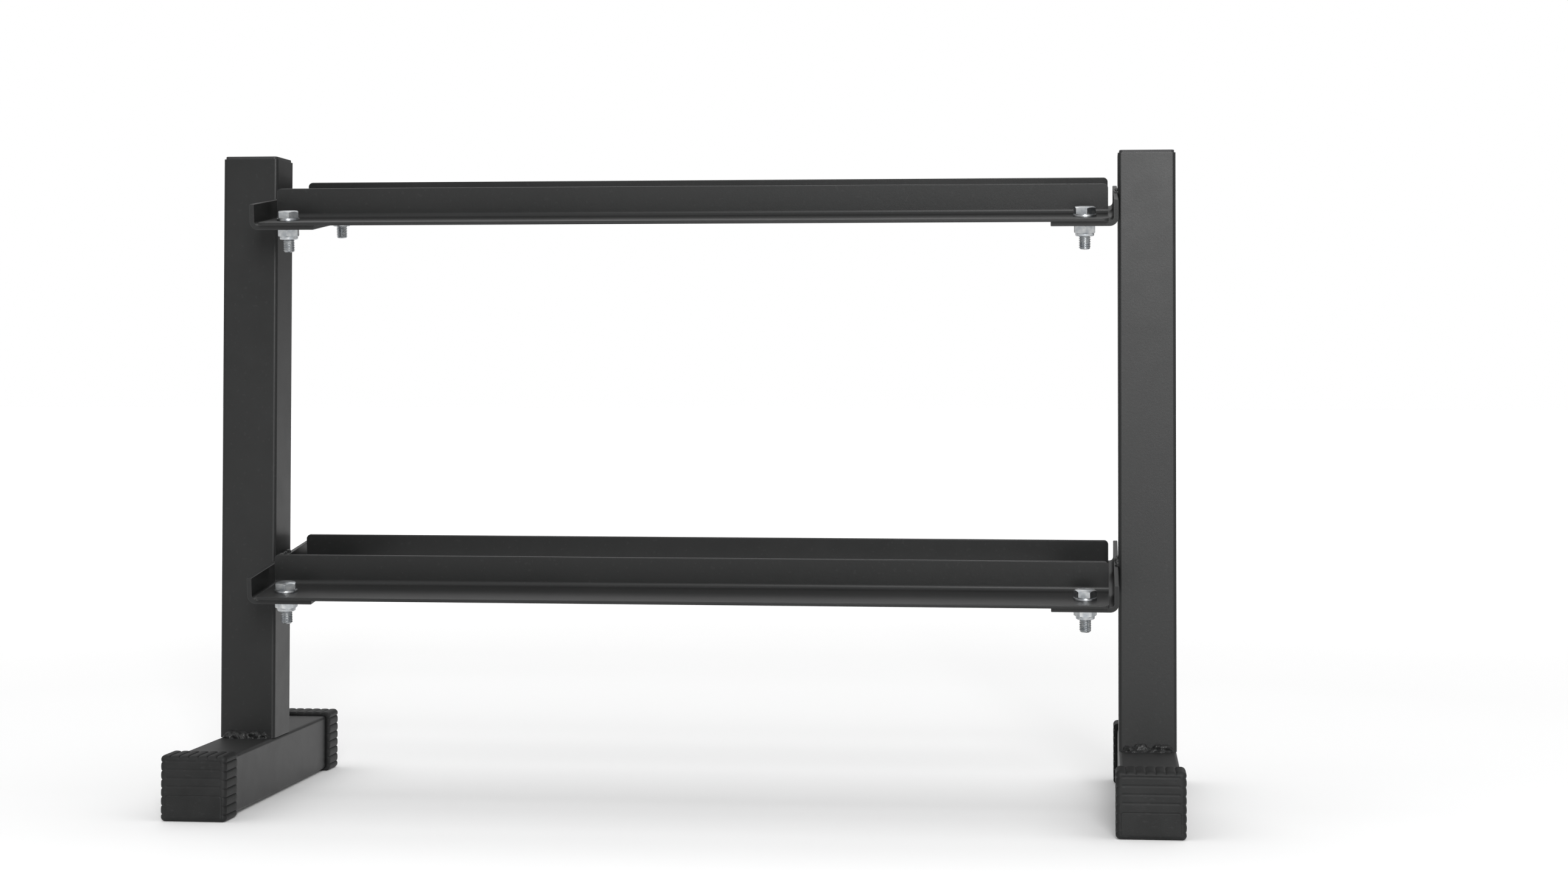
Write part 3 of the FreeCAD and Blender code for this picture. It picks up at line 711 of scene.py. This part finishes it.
for tier in TIERS:
    shelf = Matrix.Translation((0.0, 0.0, shelf_level(tier))) @ Matrix.Rotation(TILT, 4, "X")
    for side_name, side in SIDES.items():
        quarter = spun("Z", -90.0 * side)
        number = 20 + side + 4 * TIERS.index(tier)
        pair = [(bead(ARM_BEAD, ARM_TOP_LEG, number),
                 shelf @ Matrix.Translation((side * wall, 0.0, ARM_UPSTAND)) @ quarter @ facing_up),
                (bead(ARM_BEAD, ARM_FOLD_LEG, number + 20),
                 shelf @ Matrix.Translation((side * wall, 0.0, FOLD_SEAM)) @ quarter)]
        place_piece(f"{tier}_{side_name}_run_arm_welds", joined("arm_welds", pair), powder, "powder_coat",
                    f"{tier}_{side_name}_arm_welds")

# %% [markdown]
# ## Floor and light
# The rack stands on a plain, nearly white floor. A wide, soft overhead light fills the floor evenly and
# leaves only a faint shadow under the caps. Black satin steel shows mostly what it mirrors. A panel
# behind the camera, to its right, draws the soft gradients on the uprights, and a dim one high behind
# the rack lights its top edges. The camera sees plain white behind the rack, but the light that comes
# from there is much dimmer, or the black steel would look grey.

# %% Floor
floor_mesh = bpy.data.meshes.new("floor")
REACH = 40.0
floor_mesh.from_pydata([(-REACH, -REACH, 0), (REACH, -REACH, 0), (REACH, REACH, 0),
                        (-REACH, REACH, 0)], [], [(0, 1, 2, 3)])
floor = bpy.data.objects.new("floor", floor_mesh)
bpy.context.scene.collection.objects.link(floor)
pale, pale_shader, pale_place = finish("floor", Roughness=0.6, Specular_IOR_Level=0.2,
                                       Emission_Strength=1.0)
from_rack = pale_place.node("ShaderNodeVectorMath", {"operation": "LENGTH"}, {0: pale_place}, out="Value")
far = ramp(from_rack * 0.1, (0.12, 0.0), (0.45, 1.0))
tint = noise(pale_place, 0.8, detail=2.0)
feed(pale_shader, Base_Color=mix(tint, (0.90, 0.90, 0.90, 1.0), (0.93, 0.93, 0.93, 1.0)),
     Emission_Color=mix(far, (0.04, 0.04, 0.04, 1.0), (0.30, 0.30, 0.30, 1.0)))
floor_mesh.materials.append(pale)

# %% Lights
def panel(name, spot, target, width, height, watts):
    lamp = bpy.data.objects.new(name, bpy.data.lights.new(name, "AREA"))
    lamp.data.shape, lamp.data.size, lamp.data.size_y, lamp.data.energy = "RECTANGLE", width, height, watts
    bpy.context.scene.collection.objects.link(lamp)
    away = Vector(target) - Vector(spot)
    lamp.matrix_world = Matrix.Translation(spot) @ away.to_track_quat("-Z", "Y").to_matrix().to_4x4()
    lamp.visible_camera = False

overhead = bpy.data.objects.new("overhead", bpy.data.lights.new("overhead", "SUN"))
overhead.data.energy, overhead.data.angle = 2.1, 2.2
bpy.context.scene.collection.objects.link(overhead)
panel("front_right_panel", (0.75, -4.0, 1.55), (0.4, 0.0, 0.5), 0.85, 1.5, 115.0)
panel("rear_panel", (-0.6, 3.0, 3.2), (0.0, 0.0, 0.3), 2.4, 1.2, 12.0)

world = bpy.data.worlds.new("studio")
bpy.context.scene.world = world
world.use_nodes = True
sky = Flow(world.node_tree)
toward = sky.node("ShaderNodeTexCoord", out="Generated")
aside, behind = (sky.node("ShaderNodeSeparateXYZ", None, {0: toward}, out=k) for k in range(2))
behind = ramp(behind * 0.5 + 0.5, (0.42, 0.0), (0.62, 1.0))
aside = abs(aside)
level_of_light = ((0.13 + 0.32 * ramp(aside, (0.38, 0.0), (0.75, 1.0))) * (1 - behind)
                  + (0.12 + 0.15 * ramp(aside, (0.0, 0.0), (0.32, 1.0))) * behind)
seen = sky.node("ShaderNodeLightPath", out="Is Camera Ray")
surround = sky.node("ShaderNodeBackground", None, {
    "Color": (1.0, 1.0, 1.0, 1.0), "Strength": level_of_light * (1 - seen) + seen})
world.node_tree.links.new(surround.socket, world.node_tree.nodes["World Output"].inputs["Surface"])
bpy.context.scene.view_settings.view_transform = "Standard"
